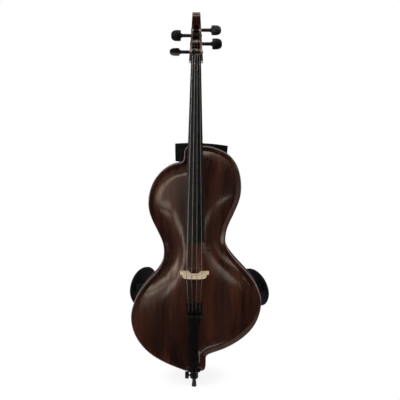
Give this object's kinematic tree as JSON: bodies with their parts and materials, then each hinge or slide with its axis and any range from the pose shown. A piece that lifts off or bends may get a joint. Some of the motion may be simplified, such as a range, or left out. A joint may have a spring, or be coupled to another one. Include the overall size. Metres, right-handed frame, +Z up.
{
  "type": "electric cello",
  "caption": "Hollow electric cello with a long S-shaped arched body, tall carved bridge, pegbox head, chest rest, swinging knee rests, sliding endpin and rear controls.",
  "frame": {"origin": "the point of the rubber tip that meets the floor, with the endpin in", "axes": "+Z runs up the instrument along its middle line, the strings face -Y, +X is the viewer's right (treble side)"},
  "size_m": [0.4666, 0.2603, 1.2109],
  "materials": {
    "lacquered_body": "dark red-brown gloss lacquer over streaked wood grain",
    "raw_maple": "bare wood, matt",
    "raw_spruce": "bare wood, matt",
    "bridge_maple": "bare pale wood, fine flecks",
    "black_wood": "black, oiled satin",
    "string_steel": "flat-wound wire, satin",
    "black_metal": "black, semi-gloss",
    "bright_metal": "brushed",
    "black_plastic": "black satin",
    "matt_black": "black, matt",
    "pad_foam": "black textured foam skin",
    "black_rubber": "black, matt",
    "disc_brass": "thin disc, satin",
    "battery_skin": "printed sleeve, plain",
    "board_green": "solder-masked board"
  },
  "bodies": {
    "body": {"top_plate": "lacquered_body", "rib_garland": "lacquered_body", "back_plate": "lacquered_body", "neck_block": "raw_maple", "endpin_block": "raw_maple", "bass_bar": "raw_spruce", "pickup_disc": "disc_brass", "pickup_lead": "black_rubber", "neck": "lacquered_body", "fingerboard": "black_wood", "nut": "black_wood", "string_c": "string_steel", "string_g": "string_steel", "string_d": "string_steel", "string_a": "string_steel", "bridge": "bridge_maple", "tailpiece": "black_plastic", "tailgut": "black_rubber", "saddle": "black_wood", "endpin_collar": "black_metal", "chest_rest_bracket": "black_metal", "knee_rest_boss_bass": "black_metal", "knee_rest_boss_treble": "black_metal", "control_panel": "matt_black", "battery": "battery_skin", "circuit_board": "board_green", "output_jack": "black_metal"},
    "endpin": {"endpin_rod": "black_metal", "endpin_tip": "black_rubber"},
    "endpin_screw": {"endpin_thumb_screw": "black_metal"},
    "chest_rest": {"chest_rest_plate": "black_plastic", "chest_rest_bar": "bright_metal"},
    "chest_clamp": {"chest_rest_knob": "matt_black"},
    "knee_rest_bass": {"knee_rest_arm_bass": "black_metal", "knee_rest_shell_bass": "black_plastic", "knee_rest_pad_bass": "pad_foam"},
    "knee_clamp_bass": {"knee_rest_knob_bass": "matt_black"},
    "knee_rest_treble": {"knee_rest_arm_treble": "black_metal", "knee_rest_shell_treble": "black_plastic", "knee_rest_pad_treble": "pad_foam"},
    "knee_clamp_treble": {"knee_rest_knob_treble": "matt_black"},
    "door": {"battery_door": "matt_black"},
    "volume": {"volume_dial": "matt_black"},
    "tone": {"tone_dial": "matt_black"},
    "peg_c_body": {"peg_c": "black_wood", "winding_c": "string_steel"},
    "tuner_screw_c_body": {"tuner_screw_c": "black_metal"},
    "tuner_lever_c_body": {"tuner_lever_c": "black_metal"},
    "peg_g_body": {"peg_g": "black_wood", "winding_g": "string_steel"},
    "tuner_screw_g_body": {"tuner_screw_g": "black_metal"},
    "tuner_lever_g_body": {"tuner_lever_g": "black_metal"},
    "peg_d_body": {"peg_d": "black_wood", "winding_d": "string_steel"},
    "tuner_screw_d_body": {"tuner_screw_d": "black_metal"},
    "tuner_lever_d_body": {"tuner_lever_d": "black_metal"},
    "peg_a_body": {"peg_a": "black_wood", "winding_a": "string_steel"},
    "tuner_screw_a_body": {"tuner_screw_a": "black_metal"},
    "tuner_lever_a_body": {"tuner_lever_a": "black_metal"}
  },
  "joints": [
    {"name": "peg_c_turn", "type": "hinge", "parent": "body", "child": "peg_c_body", "pos_m": [0, 0.00643, 1.08629], "axis": [-1, 0, 0], "continuous": true},
    {"name": "peg_g_turn", "type": "hinge", "parent": "body", "child": "peg_g_body", "pos_m": [0, 0.02465, 1.13882], "axis": [-1, 0, 0], "continuous": true},
    {"name": "peg_d_turn", "type": "hinge", "parent": "body", "child": "peg_d_body", "pos_m": [0, 0.0293, 1.15665], "axis": [1, 0, 0], "continuous": true},
    {"name": "peg_a_turn", "type": "hinge", "parent": "body", "child": "peg_a_body", "pos_m": [0, 0.01595, 1.1127], "axis": [1, 0, 0], "continuous": true},
    {"name": "tuner_screw_c_turn", "type": "hinge", "parent": "body", "child": "tuner_screw_c_body", "pos_m": [-0.0174, -0.10348, 0.27315], "axis": [0, 0.9592, 0.2828], "range_deg": [0, 1440]},
    {"name": "tuner_lever_c_rock", "type": "hinge", "parent": "body", "child": "tuner_lever_c_body", "pos_m": [-0.0174, -0.10581, 0.28707], "axis": [1, 0, 0], "range_deg": [0, 4.8]},
    {"name": "tuner_screw_g_turn", "type": "hinge", "parent": "body", "child": "tuner_screw_g_body", "pos_m": [-0.0058, -0.10348, 0.27315], "axis": [0, 0.9592, 0.2828], "range_deg": [0, 1440]},
    {"name": "tuner_lever_g_rock", "type": "hinge", "parent": "body", "child": "tuner_lever_g_body", "pos_m": [-0.0058, -0.10581, 0.28707], "axis": [1, 0, 0], "range_deg": [0, 4.8]},
    {"name": "tuner_screw_d_turn", "type": "hinge", "parent": "body", "child": "tuner_screw_d_body", "pos_m": [0.0058, -0.10348, 0.27315], "axis": [0, 0.9592, 0.2828], "range_deg": [0, 1440]},
    {"name": "tuner_lever_d_rock", "type": "hinge", "parent": "body", "child": "tuner_lever_d_body", "pos_m": [0.0058, -0.10581, 0.28707], "axis": [1, 0, 0], "range_deg": [0, 4.8]},
    {"name": "tuner_screw_a_turn", "type": "hinge", "parent": "body", "child": "tuner_screw_a_body", "pos_m": [0.0174, -0.10348, 0.27315], "axis": [0, 0.9592, 0.2828], "range_deg": [0, 1440]},
    {"name": "tuner_lever_a_rock", "type": "hinge", "parent": "body", "child": "tuner_lever_a_body", "pos_m": [0.0174, -0.10581, 0.28707], "axis": [1, 0, 0], "range_deg": [0, 4.8]},
    {"name": "endpin_slide", "type": "slide", "parent": "body", "child": "endpin", "axis": [0, 0, -1], "range_m": [0, 0.33]},
    {"name": "endpin_screw_turn", "type": "hinge", "parent": "body", "child": "endpin_screw", "pos_m": [-0.02, 0, 0.0386], "axis": [1, 0, 0], "range_deg": [-540, 0]},
    {"name": "chest_rest_slide", "type": "slide", "parent": "body", "child": "chest_rest", "axis": [0, 0, 1], "range_m": [-0.018, 0.025]},
    {"name": "chest_clamp_turn", "type": "hinge", "parent": "body", "child": "chest_clamp", "pos_m": [0.0166, 0.0597, 0.68897], "axis": [0, -1, 0], "range_deg": [-720, 0]},
    {"name": "knee_rest_bass_swing", "type": "hinge", "parent": "body", "child": "knee_rest_bass", "pos_m": [-0.08106, 0.0545, 0.31639], "axis": [0, 1, 0], "range_deg": [-10, 75]},
    {"name": "knee_clamp_bass_turn", "type": "hinge", "parent": "body", "child": "knee_clamp_bass", "pos_m": [-0.08106, 0.0545, 0.31639], "axis": [0, -1, 0], "range_deg": [-720, 0]},
    {"name": "knee_rest_treble_swing", "type": "hinge", "parent": "body", "child": "knee_rest_treble", "pos_m": [0.11008, 0.0545, 0.29884], "axis": [0, -1, 0], "range_deg": [-10, 75]},
    {"name": "knee_clamp_treble_turn", "type": "hinge", "parent": "body", "child": "knee_clamp_treble", "pos_m": [0.11008, 0.0545, 0.29884], "axis": [0, -1, 0], "range_deg": [-720, 0]},
    {"name": "battery_door_swing", "type": "hinge", "parent": "body", "child": "door", "pos_m": [0.023, 0.0339, 0.20528], "axis": [0, 0, 1], "range_deg": [0, 100]},
    {"name": "volume_turn", "type": "hinge", "parent": "body", "child": "volume", "pos_m": [0.09599, 0.0297, 0.21528], "axis": [0, -1, 0], "range_deg": [-140, 140]},
    {"name": "tone_turn", "type": "hinge", "parent": "body", "child": "tone", "pos_m": [0.12, 0.0297, 0.21528], "axis": [0, -1, 0], "range_deg": [-140, 140]}
  ],
  "couplings": [
    {"joint": "tuner_lever_c_rock", "follows": "tuner_screw_c_turn", "ratio": 0.0033333},
    {"joint": "tuner_lever_g_rock", "follows": "tuner_screw_g_turn", "ratio": 0.0033333},
    {"joint": "tuner_lever_d_rock", "follows": "tuner_screw_d_turn", "ratio": 0.0033333},
    {"joint": "tuner_lever_a_rock", "follows": "tuner_screw_a_turn", "ratio": 0.0033333}
  ]
}
